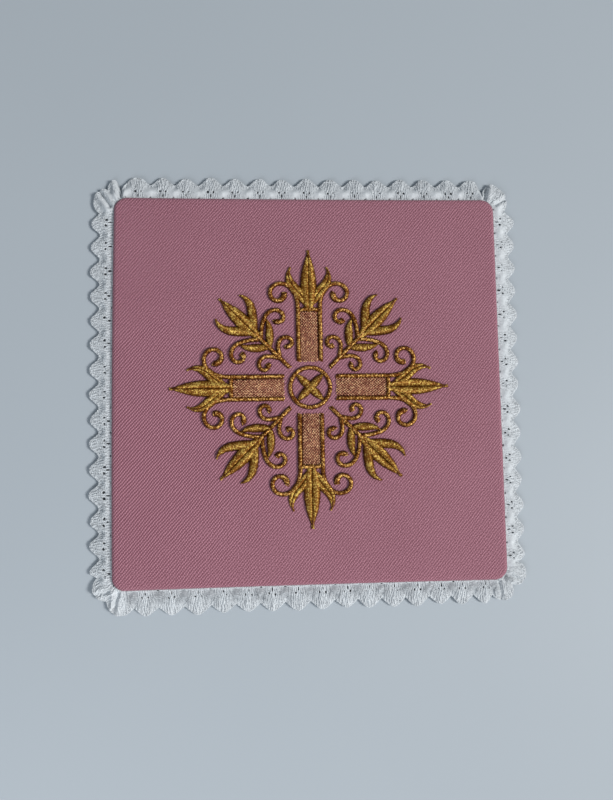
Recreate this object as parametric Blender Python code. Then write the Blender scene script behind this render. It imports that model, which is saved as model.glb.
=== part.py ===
"""A stiff square altar cloth with a scalloped lace edging and a raised gold cross of cords and leaves.

Lengths are in metres. +Z is up, +Y is the far side as it lies, and the origin is mid-underside.
"""
import math

import bmesh
import bpy

MM = 0.001
GAP = 0.3 * MM

# Panel: a board wrapped in cloth
HALF_SIDE = 78.2 * MM
THICKNESS = 4.5 * MM
TOP_ROLL = 1.7 * MM
UNDER_ROLL = 1.0 * MM
POINTS_PER_SIDE = 10
POINTS_PER_CORNER = 8
ROLL_STEPS = 4

# Lace edging
LACE_THICKNESS = 1.2 * MM
LACE_INNER_Z = 2.5 * MM
LACE_OUTER_Z = 0.95 * MM
LACE_PUFF = 0.35 * MM
LACE_PUFF_AT = 0.55
RIM_THINNING = 0.8
USUAL_DEPTH = 3.4 * MM
PLEAT_SHARPENING = 0.55
PLEAT_DEPTH = 4.6 * MM
TIP_FLATNESS = 1.08
COLUMNS_PER_HALF_TOOTH = 4
REACH_WAVER = 0.35 * MM
TIP_WAVER = 0.45 * MM

# Raised stitching
STITCH_BASE_Z = THICKNESS + GAP
CORD_WIDTH = 1.7 * MM
CORD_HEIGHT = 0.75 * MM
LEAF_HEIGHT = 0.95 * MM
CORD_STEP = 1.9 * MM
LEAF_STEP = 2.0 * MM
MIN_STEPS_PER_RUN = 3
LEAF_TIP_SHARE = 0.14
LEAF_FULLNESS = 0.8
LEAF_END_HEIGHT = 0.45
CURL_END = 0.1
CURL_END_SWELL = 0.45
RING_RADIUS = 8.0 * MM
RING_SIDES = 28
PETAL = {"start": (0, -1.5), "heading": 90, "runs": ((9.2, 0, 0),)}
PETAL_WIDTH = 3.4 * MM


# A ridge's section, as shares of its width and height
RIDGE_SECTION = ((-0.5, 0.0), (0.5, 0.0), (0.36, 0.7), (0.0, 1.0), (-0.36, 0.7))
RIDGE_POINTS = len(RIDGE_SECTION)


def table(columns, rows):
    return tuple(dict(zip(columns, row)) for row in rows)


# Sides in the order met going round anticlockwise, in mm and degrees. The bow is outward at mid-side, tips
# are counted from the corner where the side starts, and crowding moves those at mid-side further along. Teeth
# are pointed at squareness 1 and blunt at 2, and the valleys between them are sharp at 0 and round at 1.
SIDES = table(
    ("name", "turn", "bow", "teeth", "first_tip", "last_tip", "crowding", "squareness", "valley_round"),
    (
        ("right", 0, 0.0, 15, 9.9, 147.5, 0.0, 1.6, 0.5),
        ("top", 90, -0.25, 15, 9.3, 147.1, 0.0, 1.6, 0.8),
        ("left", 180, 0.45, 15, 10.3, 149.5, 0.0, 1.6, 1.0),
        ("bottom", 270, -0.25, 15, 12.8, 147.5, 1.6, 1.35, 0.15),
    ),
)

# How far tips and valleys reach out at each end of a side, in mm, and the valley before its first tooth: its
# reach, and how far it lies from the tooth before towards the first one.
SIDE_REACH = table(
    ("tip_start", "tip_end", "valley_start", "valley_end", "first_valley", "first_valley_at"),
    (
        (8.2, 9.2, 5.3, 6.2, 5.1, 0.5),
        (9.3, 9.3, 6.3, 6.1, 1.8, 0.37),
        (9.4, 9.0, 5.9, 5.4, 6.3, 0.38),
        (10.5, 9.7, 7.2, 6.0, 7.1, 0.5),
    ),
)

# The corner that ends each side, in the same order.
CORNERS = table(
    ("name", "radius"),
    (("top_right", 5.4), ("top_left", 5.2), ("bottom_left", 5.0), ("bottom_right", 5.2)),
)

# Teeth fanned round the corners: share of the arc, reach, tip lift, squareness, and the valley before.
CORNER_TEETH = table(
    ("corner", "share", "reach", "lift", "squareness", "valley", "valley_at"),
    (
        ("top_right", 0.57, 8.9, 0.2, 2.2, 5.6, 0.5),
        ("top_left", 0.25, 9.2, 0.1, 2.4, 1.8, 0.95),
        ("top_left", 0.68, 9.5, 0.3, 2.6, 6.9, 0.5),
        ("bottom_left", 0.28, 8.8, 0.7, 2.0, 6.4, 0.5),
        ("bottom_left", 0.84, 10.2, 0.1, 1.4, 6.9, 0.5),
        ("bottom_right", 0.27, 9.5, 0.0, 1.6, 6.0, 0.5),
        ("bottom_right", 0.74, 8.9, 0.3, 2.2, 5.2, 0.5),
    ),
)

# Strokes are traced from a start in mm along a heading in degrees. Each run is its length in mm and its bend
# at the start and at the end in 1/mm, positive to the left.
STROKE_COLUMNS = ("kind", "start", "heading", "mirrored", "width", "runs")

# One arm, pointing along +Y
ARM_STROKES = table(
    STROKE_COLUMNS,
    (
        ("curl", (4.5, 10.4), 90, True, 1.7, ((21.5, 0, 0), (8.5, -0.03, -0.13), (22.0, -0.13, -0.42))),
        ("cord", (-4.5, 31.2), 14, False, 1.7, ((9.3, -0.053, -0.053),)),
        ("leaf", (0.0, 31.0), 90, False, 6.6, ((25.0, 0, 0),)),
        ("leaf", (0.8, 33.4), 62, True, 4.2, ((8.5, -0.03, -0.03), (9.5, 0.08, 0.2))),
    ),
)

# One sprig, pointing along +Y before it is turned onto its diagonal
SPRIG_STROKES = table(
    STROKE_COLUMNS,
    (
        ("cord", (0.0, 11.2), 90, False, 1.7, ((21.5, 0, 0),)),
        ("curl", (0.2, 17.0), 58, True, 1.7, ((4.4, 0.03, -0.12), (5.6, -0.2, -0.36), (7.4, -0.36, -0.72))),
        ("curl", (0.3, 27.8), 46, True, 1.7, ((8.2, -0.03, -0.07), (8.6, -0.12, -0.32), (7.6, -0.32, -0.64))),
        ("leaf", (0.0, 29.0), 90, False, 6.0, ((22.0, 0, 0),)),
        ("leaf", (0.2, 22.6), 50, True, 3.4, ((5.5, -0.02, -0.02), (6.5, 0.05, 0.12))),
        ("leaf", (0.6, 31.0), 60, True, 3.8, ((8.5, -0.02, -0.02), (9.0, 0.08, 0.2))),
    ),
)


def clear_scene():
    for old in list(bpy.data.objects):
        bpy.data.objects.remove(old, do_unlink=True)


def make_material(name, colour, roughness, metallic=0.0):
    material = bpy.data.materials.new(name)
    material.use_nodes = True
    shader = material.node_tree.nodes["Principled BSDF"]
    shader.inputs["Base Color"].default_value = (*colour, 1.0)
    shader.inputs["Roughness"].default_value = roughness
    shader.inputs["Metallic"].default_value = metallic
    material.diffuse_color = (*colour, 1.0)
    return material


def make_object(name, points, faces, material=None, smooth=False):
    mesh = bpy.data.meshes.new(name)
    mesh.from_pydata(points, [], faces)
    mesh.update()
    for face in mesh.polygons:
        face.use_smooth = smooth
    if material is not None:
        mesh.materials.append(material)
    made = bpy.data.objects.new(name, mesh)
    bpy.context.scene.collection.objects.link(made)
    return made


def turned(x, y, degrees):
    """A point turned anticlockwise about the origin."""
    c = math.cos(math.radians(degrees))
    s = math.sin(math.radians(degrees))
    return x * c - y * s, x * s + y * c


def corner_radius(index):
    return CORNERS[index % 4]["radius"] * MM


def side_span(index):
    """Start and end of a side's straight stretch, counted from its first corner."""
    return corner_radius(index - 1), 2 * HALF_SIDE - corner_radius(index)


def side_point(index, along, offset):
    """A point on a side and its outward direction; along is counted from the side's first corner."""
    side = SIDES[index]
    start, end = side_span(index)
    middle = (2 * along - start - end) / (end - start)
    x = HALF_SIDE + side["bow"] * MM * (1 - middle ** 2) + offset
    y = along - HALF_SIDE
    return turned(x, y, side["turn"]), turned(1, 0, side["turn"])


def corner_point(index, share, offset):
    """A point on the corner that ends a side, and its outward direction."""
    radius = corner_radius(index)
    centre = HALF_SIDE - radius
    nx, ny = turned(1, 0, 90 * share)
    x = centre + (radius + offset) * nx
    y = centre + (radius + offset) * ny
    return turned(x, y, SIDES[index]["turn"]), turned(nx, ny, SIDES[index]["turn"])


def panel_loop(offset, z):
    """The panel's outline at one height, anticlockwise from above."""
    loop = []
    for index in range(4):
        start, end = side_span(index)
        for step in range(POINTS_PER_SIDE):
            along = start + (end - start) * step / POINTS_PER_SIDE
            loop.append(side_point(index, along, offset)[0])
        for step in range(POINTS_PER_CORNER):
            loop.append(corner_point(index, step / POINTS_PER_CORNER, offset)[0])
    return [(x, y, z) for x, y in loop]


def panel_section():
    """Inset and height of each loop, from the underside round the edge to the top."""
    section = []
    for step in range(ROLL_STEPS + 1):
        angle = math.pi / 2 * step / ROLL_STEPS
        section.append((-UNDER_ROLL * (1 - math.sin(angle)), UNDER_ROLL * (1 - math.cos(angle))))
    for step in range(ROLL_STEPS + 1):
        angle = math.pi / 2 * step / ROLL_STEPS
        section.append((-TOP_ROLL * (1 - math.cos(angle)), THICKNESS - TOP_ROLL * (1 - math.sin(angle))))
    return section


def stacked_faces(rings, count, closed_ends=True):
    """Faces between rings of the same count, with a face across each end."""
    faces = []
    for ring in range(rings - 1):
        for i in range(count):
            j = (i + 1) % count
            low = ring * count
            faces.append((low + i, low + j, low + count + j, low + count + i))
    if closed_ends:
        faces.append(tuple(reversed(range(count))))
        faces.append(tuple(range((rings - 1) * count, rings * count)))
    return faces


def make_panel(material):
    points = []
    section = panel_section()
    for offset, z in section:
        points += panel_loop(offset, z)
    count = len(points) // len(section)
    return make_object("panel", points, stacked_faces(len(section), count), material, smooth=True)


def waver(number, size):
    """A small repeatable unevenness for the tooth of this number."""
    return size * math.sin(number * 2.4) * math.cos(number * 0.9 + 0.6)


def blend(first, last, share):
    return first + (last - first) * share


def side_teeth(index, number):
    """The teeth along one side; number is how many come before them."""
    side = SIDES[index]
    reach = SIDE_REACH[index]
    teeth = []
    for k in range(side["teeth"]):
        share = k / (side["teeth"] - 1)
        along = blend(side["first_tip"], side["last_tip"], share)
        along += side["crowding"] * 4 * share * (1 - share)
        place = outline_place(index, along * MM - side_span(index)[0])
        tip = blend(reach["tip_start"], reach["tip_end"], share)
        valley = blend(reach["valley_start"], reach["valley_end"], share) if k else reach["first_valley"]
        teeth.append({
            "place": place + waver(number + k + 3, TIP_WAVER),
            "reach": tip * MM + waver(number + k, REACH_WAVER),
            "lift": 0.0,
            "squareness": side["squareness"],
            "valley_round": side["valley_round"],
            "valley": valley * MM,
            "valley_at": 0.5 if k else reach["first_valley_at"],
        })
    return teeth


def corner_teeth(index):
    """The teeth fanned round the corner that ends a side."""
    start, end = side_span(index)
    arc = corner_radius(index) * math.pi / 2
    return [
        {
            "place": outline_place(index, end - start + arc * tooth["share"]),
            "reach": tooth["reach"] * MM,
            "lift": tooth["lift"] * MM,
            "squareness": tooth["squareness"],
            "valley_round": 0.0,
            "valley": tooth["valley"] * MM,
            "valley_at": tooth["valley_at"],
        }
        for tooth in CORNER_TEETH
        if tooth["corner"] == CORNERS[index]["name"]
    ]


def edging_teeth():
    """Every tooth in order: its place on the outline, reach, lift, squareness and the valley before it."""
    teeth = []
    for index in range(4):
        teeth += side_teeth(index, len(teeth))
        teeth += corner_teeth(index)
    return teeth


def outline_place(index, beyond):
    """Distance round the outline of a point that lies beyond the start of a side's straight stretch."""
    place = beyond
    for earlier in range(index):
        start, end = side_span(earlier)
        place += end - start + corner_radius(earlier) * math.pi / 2
    return place


def outline_length():
    return outline_place(4, 0.0)


def outline_point(place, offset):
    """The point and outward direction at a distance round the outline."""
    place %= outline_length()
    for index in range(4):
        start, end = side_span(index)
        arc = corner_radius(index) * math.pi / 2
        if place <= end - start:
            return side_point(index, start + place, offset)
        place -= end - start
        if place <= arc:
            return corner_point(index, place / arc, offset)
        place -= arc
    return side_point(0, side_span(0)[0], offset)


def tooth_rise(tooth, depth, phase):
    """How much of its depth a tooth has risen from its valley, at phase 0, to its tip, at phase 1."""
    power = tooth["squareness"] + PLEAT_SHARPENING * max(0.0, depth - USUAL_DEPTH) / MM
    sharp = 1 - (1 - phase) ** power
    smooth = (1 - math.cos(math.pi * min(1.0, TIP_FLATNESS * phase))) / 2
    return blend(sharp, smooth, tooth["valley_round"] if depth < PLEAT_DEPTH else 0.0)


def flank_columns(tooth, valley_place, valley, steps):
    """Columns on one side of a tooth, between the valley and the tip."""
    depth = tooth["reach"] - valley
    columns = []
    for step in steps:
        phase = step / COLUMNS_PER_HALF_TOOTH
        columns.append({
            "place": blend(valley_place, tooth["place"], phase),
            "reach": valley + depth * tooth_rise(tooth, depth, phase),
            "lift": tooth["lift"] * phase,
            "phase": phase,
        })
    return columns


def edging_columns():
    """Place, reach, lift and phase (0 at a valley, 1 at a tip) of every column of the edging, in order."""
    teeth = edging_teeth()
    length = outline_length()
    columns = []
    for number, tooth in enumerate(teeth):
        before = teeth[number - 1]["place"] - (length if number == 0 else 0.0)
        after = teeth[(number + 1) % len(teeth)]
        after_place = after["place"] + (length if number == len(teeth) - 1 else 0.0)
        valley_before = blend(before, tooth["place"], tooth["valley_at"])
        valley_after = blend(tooth["place"], after_place, after["valley_at"])
        columns += flank_columns(tooth, valley_before, tooth["valley"], range(COLUMNS_PER_HALF_TOOTH))
        columns += flank_columns(tooth, valley_after, after["valley"], range(COLUMNS_PER_HALF_TOOTH, 0, -1))
    return columns


def edging_section(column):
    """One column's points: out along the top from the seam to the rim, then back underneath."""
    half = LACE_THICKNESS / 2
    puff = LACE_PUFF * column["phase"]
    top = []
    under = []
    stations = ((0.0, 0.0, 1.0), (LACE_PUFF_AT, puff, 1.0), (1.0, column["lift"], RIM_THINNING))
    for share, rise, thin in stations:
        (x, y), _ = outline_point(column["place"], GAP + (column["reach"] - GAP) * share)
        z = LACE_INNER_Z + (LACE_OUTER_Z - LACE_INNER_Z) * share + rise
        top.append((x, y, z + half * thin))
        under.append((x, y, z - half * thin))
    return top + list(reversed(under))


def make_edging(material):
    sections = [edging_section(column) for column in edging_columns()]
    size = len(sections[0])
    points = [point for section in sections for point in section]
    faces = []
    for i in range(len(sections)):
        j = (i + 1) % len(sections)
        for k in range(size):
            m = (k + 1) % size
            faces.append((i * size + k, i * size + m, j * size + m, j * size + k))
    return make_object("lace_edging", points, faces, material)


def traced(stroke, step):
    """Points and headings along a stroke whose bend changes evenly within each of its runs."""
    x, y = stroke["start"]
    heading = math.radians(stroke["heading"])
    path = [(x * MM, y * MM, heading)]
    for length, first_bend, last_bend in stroke["runs"]:
        count = max(MIN_STEPS_PER_RUN, round(length * MM / step))
        piece = length / count
        for i in range(count):
            bend = first_bend + (last_bend - first_bend) * (i + 0.5) / count
            heading += bend * piece / 2
            x += piece * math.cos(heading)
            y += piece * math.sin(heading)
            heading += bend * piece / 2
            path.append((x * MM, y * MM, heading))
    return path


def stroke_width(kind, share, width):
    """Full width of a stroke a share of the way along it."""
    if kind == "leaf":
        return width * max(LEAF_TIP_SHARE, math.sin(math.pi * share ** LEAF_FULLNESS) ** LEAF_FULLNESS)
    if kind == "curl" and share > 1 - CURL_END:
        turn = (share - 1 + CURL_END) / CURL_END * math.pi * 0.75
        return width * (1 + CURL_END_SWELL * math.sin(turn))
    return width


def ridge(name, path, kind, width):
    """A low rounded ridge with a flat underside, along a path."""
    height = LEAF_HEIGHT if kind == "leaf" else CORD_HEIGHT
    last = len(path) - 1
    points = []
    for i, (x, y, heading) in enumerate(path):
        full = stroke_width(kind, i / last, width)
        low = height * (LEAF_END_HEIGHT if kind == "leaf" and i in (0, last) else 1.0)
        nx, ny = -math.sin(heading), math.cos(heading)
        for across, up in RIDGE_SECTION:
            points.append((x + nx * full * across, y + ny * full * across, STITCH_BASE_Z + low * up))
    made = make_object(name, points, stacked_faces(len(path), RIDGE_POINTS), smooth=True)
    face_outward(made)
    return made


def face_outward(made):
    bm = bmesh.new()
    bm.from_mesh(made.data)
    bmesh.ops.recalc_face_normals(bm, faces=bm.faces)
    bm.to_mesh(made.data)
    bm.free()


def turned_path(path, degrees, mirror):
    """A path mirrored left to right if asked, then turned about the origin."""
    result = []
    for x, y, heading in path:
        if mirror:
            x = -x
            heading = math.pi - heading
        x, y = turned(x, y, degrees)
        result.append((x, y, heading + math.radians(degrees)))
    return result


def fuse(name, pieces, material):
    """One closed body made of overlapping ridges."""
    whole = pieces[0]
    bpy.context.view_layer.objects.active = whole
    for piece in pieces[1:]:
        joint = whole.modifiers.new("join", "BOOLEAN")
        joint.operation = "UNION"
        joint.solver = "EXACT"
        joint.object = piece
        bpy.ops.object.modifier_apply(modifier=joint.name)
        bpy.data.objects.remove(piece, do_unlink=True)
    whole.name = name
    whole.data.name = name
    whole.data.materials.clear()
    whole.data.materials.append(material)
    return whole


def make_motif(name, strokes, degrees, material):
    pieces = []
    for stroke in strokes:
        step = LEAF_STEP if stroke["kind"] == "leaf" else CORD_STEP
        path = traced(stroke, step)
        for mirror in ((False, True) if stroke["mirrored"] else (False,)):
            way = turned_path(path, degrees, mirror)
            pieces.append(ridge(name + "_stroke", way, stroke["kind"], stroke["width"] * MM))
    return fuse(name, pieces, material)


def make_medallion(material):
    """A ring with four petals that meet it and each other."""
    points = []
    for i in range(RING_SIDES):
        angle = 2 * math.pi * i / RING_SIDES
        for across, up in RIDGE_SECTION:
            r = RING_RADIUS + CORD_WIDTH * across
            points.append((r * math.cos(angle), r * math.sin(angle), STITCH_BASE_Z + CORD_HEIGHT * up))
    faces = []
    for i in range(RING_SIDES):
        j = (i + 1) % RING_SIDES
        for k in range(RIDGE_POINTS):
            m = (k + 1) % RIDGE_POINTS
            corners = ((i, k), (j, k), (j, m), (i, m))
            faces.append(tuple(ring * RIDGE_POINTS + point for ring, point in corners))
    ring = make_object("medallion_ring", points, faces, smooth=True)
    face_outward(ring)
    pieces = [ring]
    for k in range(4):
        way = turned_path(traced(PETAL, CORD_STEP), 45 + 90 * k, False)
        pieces.append(ridge("medallion_petal", way, "leaf", PETAL_WIDTH))
    return fuse("medallion", pieces, material)


def main():
    clear_scene()
    cloth = make_material("rose_twill", (0.36, 0.155, 0.195), 0.8)
    lace = make_material("white_cotton_lace", (0.78, 0.79, 0.79), 0.9)
    gold = make_material("gold_thread", (0.48, 0.27, 0.06), 0.42, 0.3)
    make_panel(cloth)
    make_edging(lace)
    make_medallion(gold)
    for k in range(4):
        make_motif(f"arm_{k + 1}", ARM_STROKES, 90 * k, gold)
        make_motif(f"sprig_{k + 1}", SPRIG_STROKES, 45 + 90 * k, gold)


main()
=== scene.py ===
import math

import bpy
import numpy as np
from mathutils import Matrix, Vector


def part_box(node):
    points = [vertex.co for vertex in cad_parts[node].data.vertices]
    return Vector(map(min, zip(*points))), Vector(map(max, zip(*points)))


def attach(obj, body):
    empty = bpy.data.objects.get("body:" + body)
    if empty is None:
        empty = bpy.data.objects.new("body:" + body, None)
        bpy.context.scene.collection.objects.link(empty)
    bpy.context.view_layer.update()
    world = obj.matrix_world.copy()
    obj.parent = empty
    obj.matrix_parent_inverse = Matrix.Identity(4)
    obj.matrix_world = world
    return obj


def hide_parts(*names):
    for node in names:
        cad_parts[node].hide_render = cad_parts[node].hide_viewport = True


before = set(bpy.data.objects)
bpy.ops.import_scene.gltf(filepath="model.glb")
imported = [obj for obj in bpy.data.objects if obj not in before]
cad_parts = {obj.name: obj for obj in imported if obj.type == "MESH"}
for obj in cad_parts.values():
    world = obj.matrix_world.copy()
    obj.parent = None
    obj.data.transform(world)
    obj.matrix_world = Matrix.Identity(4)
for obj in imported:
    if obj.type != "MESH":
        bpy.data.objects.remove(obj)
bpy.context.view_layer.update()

MM = 0.001
ROOT = "root"
SEED = 11
STITCHED_NODES = ["medallion"] + [f"{kind}_{k}" for kind in ("arm", "sprig") for k in range(1, 5)]

# Camera, lens and light
CAMERA_PLACE = (-17.6, -24.25, 259.5)
CAMERA_AIM = (-1.6, -5.05, 4.5)
CAMERA_TURN_DEG = 0.996
LENS_MM = 28.8
SENSOR_MM = 36.0

# Panel, as in the solids
HALF_SIDE = 78.2 * MM
THICKNESS = Vector(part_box("panel")[1]).z
TOP_ROLL = 1.7 * MM
UNDER_ROLL = 1.0 * MM

# Panel's mesh, and the cloth laid flat
SAMPLE_STEP = 0.1 * MM
ROLL_STEPS = 8
TOP_RINGS = 30
UNDER_RINGS = 8
UNDER_END = 0.9
SIDE_COLUMNS = 44
CORNER_COLUMNS = 12
SWELL_HEIGHT = 0.07 * MM
SWELL_FADE = 12 * MM
CLOTH_SPAN = 200 * MM

# Twill
RIB_PITCH = 0.99 * MM
RIB_SLANT_DEG = 48.0
FLOAT_PITCH = 0.764 * MM
FLOAT_SLANT_DEG = 33.0
# RIB_CONTRAST sets how strongly the ribs' painted shade and light follow their height, strongest within
# CRISP_RADIUS of CRISP_PATCH
RIB_CONTRAST = 0.62
CRISP_PATCH = (-60 * MM, -25 * MM)
CRISP_RADIUS = 60 * MM
RIB_DEPTH = 0.44
FLOAT_DEPTH = 1.10
YARN_CONTRAST = 2.1

# Lace, as in the solids
LACE_INNER_Z = 2.5 * MM
LACE_OUTER_Z = 0.95 * MM
LACE_PUFF = 0.35 * MM
USUAL_DEPTH = 3.4 * MM
PLEAT_SHARPENING = 0.55
PLEAT_DEPTH = 4.6 * MM
TIP_FLATNESS = 1.08
REACH_WAVER = 0.35 * MM
TIP_WAVER = 0.45 * MM
FLANK_STEPS = 12

# Lace surface; a bell is its middle, its width and, where that isn't 2, its power
PATCH_HEIGHT = 0.95 * MM
PATCH_BELL = (0.45, 0.26)
ROLL_HEIGHT = 0.18 * MM
ROLL_BELL = (1.0, 0.12)
RIPPLE_HEIGHT = 0.10 * MM
LOWEST_LACE = 0.62 * MM

# Lobes beside each pleat's groove, as shares of its width and depth
PLEAT_LOBE_BELL = (2.1, 1.3)

# Smooth lobes between the fans, and at the corners
COVER_BELL = (0.40, 0.38, 4)
CORNER_COVER = 0.30
CORNER_BELL = (0.5, 0.42, 4)
CORNER_FADE = 2.0 * MM
COVERED_LIFT = -0.08 * MM
FAN_REACH = 4.5 * MM

# Lace ground
GROUND_THICKNESS = 0.16 * MM
GROUND_LIFT = 0.06 * MM
# GROUND_SHADE keeps the ground greyer than the threads: painted shade in the gaps between them
GROUND_SHADE = 0.72
GROUND_STEP = 0.46 * MM
GROUND_ROWS = 19
GROUND_END = 0.985
GROUND_HOLE = 0.93

# Lace threads
PASSIVES = 10
PASSIVE_STEP = 0.62 * MM
PASSIVE_RADIUS = 0.22 * MM
PASSIVE_LIFT = 0.08 * MM
PASSIVE_SHADE = 0.72
WEAVER_PITCH = 1.12 * MM
WEAVER_POINTS = 18
WEAVER_RADIUS = 0.29 * MM
WEAVER_SWING = 0.36 * MM
WEAVER_BENDS = 2.5
WEAVER_START = 0.4
WEAVER_LIFT = 0.05 * MM
WEAVE_DEPTH = 0.14 * MM
RIM_STEP = 0.36 * MM
RIM_RADIUS = 0.29 * MM
RIM_LIFT = 0.03 * MM
RIM_SHADE = 0.78
RIM_UNEVENNESS = (0.07, 0.14)
SEAM_RADIUS = 0.28 * MM
SEAM_SHARE = 0.04

# Eyelets
EYELET_RADIUS = 0.62 * MM
EYELET_SPREAD = 1.2 * MM
EYELET_OUT = 3.15 * MM
SLIT_OUT = 1.5 * MM
SLIT_WIDTH = 0.34 * MM
SLIT_LENGTH = 0.85 * MM
NOTCH_OUT = 0.35 * MM
NOTCH_SIZE = 0.42 * MM
NOTCH_BESIDE = 4.9 * MM
HOLE_RANGE = 3 * MM
PUSH_RANGE = 1.9

# Stitching
CORD_WIDTH = 1.7 * MM
CORD_HEIGHT = 1.0 * MM
LEAF_HEIGHT = 1.15 * MM
STITCH_PITCH = 0.46 * MM
STITCH_RADIUS = 0.25 * MM
STITCH_CLEARANCE = 0.02 * MM
STITCH_SIDES = 5
STITCH_END = 0.72
SATIN_POINTS = 7
SATIN_RAGGEDNESS = 0.035 * MM
BED_STEP = 0.8 * MM
BED_HALF = ((0.47, 0.0), (0.40, 0.45), (0.24, 0.74))
BED_CROWN = (0.0, 0.84)
CORD_SLANT = 0.55 * MM
CURL_END = 0.1
LEAF_FULLNESS = 0.8
LEAF_POINTS = 8
LEAF_RAGGEDNESS = 0.05 * MM
LEAF_SKEW = -0.15
LEAF_FULL_REACH = 2.2 * MM
LEAF_RADIUS = STITCH_RADIUS * 1.05
LEAF_BED = (0.9, 0.75)
VEIN_HALF = 0.10 * MM
VEINED_LEAF_WIDTH = 4.0
TRACE_STEP = 0.12 * MM
RING_RADIUS = 8.0 * MM
RING_POINTS = 400
FILL_HALF_WIDTH = 3.5 * MM
FILL_LOW = 10.7 * MM
FILL_HIGH = 30.6 * MM
FILL_PITCH = 1.0 * MM
FILL_ROW = 0.62 * MM
FILL_RADIUS = 0.22 * MM
FILL_POINTS = 6
FILL_LEAN = 0.36 * MM
FILL_NUDGE = 0.06 * MM
FILL_HEIGHT = 0.30 * MM
FILL_MARGIN = 0.3 * MM
FILL_BED_HEIGHT = 0.12 * MM

# Colours, and noise in waves to a metre
TWILL_DARK = (0.205, 0.062, 0.090, 1)
TWILL_LIGHT = (0.545, 0.246, 0.314, 1)
COTTON_DARK = (0.21, 0.225, 0.245, 1)
COTTON_LIGHT = (0.71, 0.745, 0.775, 1)
FLOOR_DARK = (0.432, 0.480, 0.524, 1)
FLOOR_LIGHT = (0.462, 0.510, 0.554, 1)
SKY_COLOUR = (0.80, 0.90, 1.0, 1)
FLOOR_SIZE = 4.0
TWILL_NOISE = {"drift": 90, "wobble": 420, "floats": 300, "fade": 150, "yarn": 2100, "tint": 35}
COTTON_NOISE = {"fuzz": 3800, "knots": 1200, "patches": 260}
GOLD_NOISE = {"strand_glints": 1700, "glint_beads": 420, "fibres": 5200}


def table(columns, *rows):
    return tuple(dict(zip(columns, row)) for row in rows)


# Lights in metres, all facing the middle of the cloth
LIGHTS = table(
    ("name", "place", "size", "power", "colour"),
    ("key", (2.1, -0.5, 1.9), (0.8, 0.8), 71.0, (1.0, 0.985, 0.96)),
    ("fill", (-0.22, -0.42, 0.36), (0.45, 0.35), 0.95, (0.92, 0.96, 1.0)),
)
# Gold threads: three colours, and how metallic they are, how strong their speckle of painted glints over
# strand unevenness is, and how darkened they are
GOLDS = table(
    ("name", "dark", "middle", "light", "metallic", "glint_speckle", "depth"),
    ("gold_cord_thread", (0.085, 0.020, 0.001, 1), (0.270, 0.085, 0.007, 1),
     (0.98, 0.63, 0.20, 1), 0.6, 3.2, 0.07),
    ("gold_leaf_thread", (0.085, 0.022, 0.001, 1), (0.290, 0.110, 0.010, 1),
     (0.86, 0.62, 0.16, 1), 0.5, 2.4, 0.04),
    ("gold_fill_thread", (0.17, 0.048, 0.026, 1), (0.50, 0.205, 0.125, 1),
     (0.96, 0.60, 0.33, 1), 0.15, 2.8, 0.0),
)

# Sides going round anticlockwise, in mm and degrees, as in the solids. Crowding moves tips at mid-side
# further along. Teeth are blunt at squareness 2, and their valleys are round at 1.
SIDES = table(
    ("name", "turn", "bow", "teeth", "first_tip", "last_tip", "crowding", "squareness", "valley_round"),
    ("right", 0, 0.0, 15, 9.9, 147.5, 0.0, 1.6, 0.5),
    ("top", 90, -0.25, 15, 9.3, 147.1, 0.0, 1.6, 0.8),
    ("left", 180, 0.45, 15, 10.3, 149.5, 0.0, 1.6, 1.0),
    ("bottom", 270, -0.25, 15, 12.8, 147.5, 1.6, 1.35, 0.15),
)
# Reach of tips and valleys at each end of a side, in mm, and the valley before its first tooth
SIDE_REACH = table(
    ("tip_start", "tip_end", "valley_start", "valley_end", "first_valley", "first_valley_at"),
    (8.2, 9.2, 5.3, 6.2, 5.1, 0.5),
    (9.3, 9.3, 6.3, 6.1, 1.8, 0.37),
    (9.4, 9.0, 5.9, 5.4, 6.3, 0.38),
    (10.5, 9.7, 7.2, 6.0, 7.1, 0.5),
)
# The corner that ends each side, and the teeth fanned round it
CORNERS = table(
    ("name", "radius"),
    ("top_right", 5.4),
    ("top_left", 5.2),
    ("bottom_left", 5.0),
    ("bottom_right", 5.2),
)
CORNER_TEETH = table(
    ("corner", "share", "reach", "lift", "squareness", "valley", "valley_at"),
    ("top_right", 0.57, 8.9, 0.2, 2.2, 5.6, 0.5),
    ("top_left", 0.25, 9.2, 0.1, 2.4, 1.8, 0.95),
    ("top_left", 0.68, 9.5, 0.3, 2.6, 6.9, 0.5),
    ("bottom_left", 0.28, 8.8, 0.7, 2.0, 6.4, 0.5),
    ("bottom_left", 0.84, 10.2, 0.1, 1.4, 6.9, 0.5),
    ("bottom_right", 0.27, 9.5, 0.0, 1.6, 6.0, 0.5),
    ("bottom_right", 0.74, 8.9, 0.3, 2.2, 5.2, 0.5),
)
# Grooves folded into the lace at the corners, from the rim in to the seam, in mm
PLEATS = table(
    ("rim", "seam", "depth", "width"),
    ((-84.3, 81.2), (-79.9, 74.9), 1.1, 0.75),
    ((-77.4, 86.2), (-75.6, 78.9), 1.2, 0.8),
    ((-86.6, -80.2), (-79.8, -78.6), 0.7, 0.7),
    ((-77.6, -85.6), (-76.0, -79.0), 0.7, 0.7),
    ((76.6, 86.0), (75.0, 79.0), 1.2, 0.8),
    ((84.6, 79.6), (79.6, 76.4), 0.8, 0.7),
    ((85.6, -79.4), (79.6, -77.0), 0.7, 0.7),
    ((76.0, -85.4), (74.8, -79.2), 0.6, 0.7),
)
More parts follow.
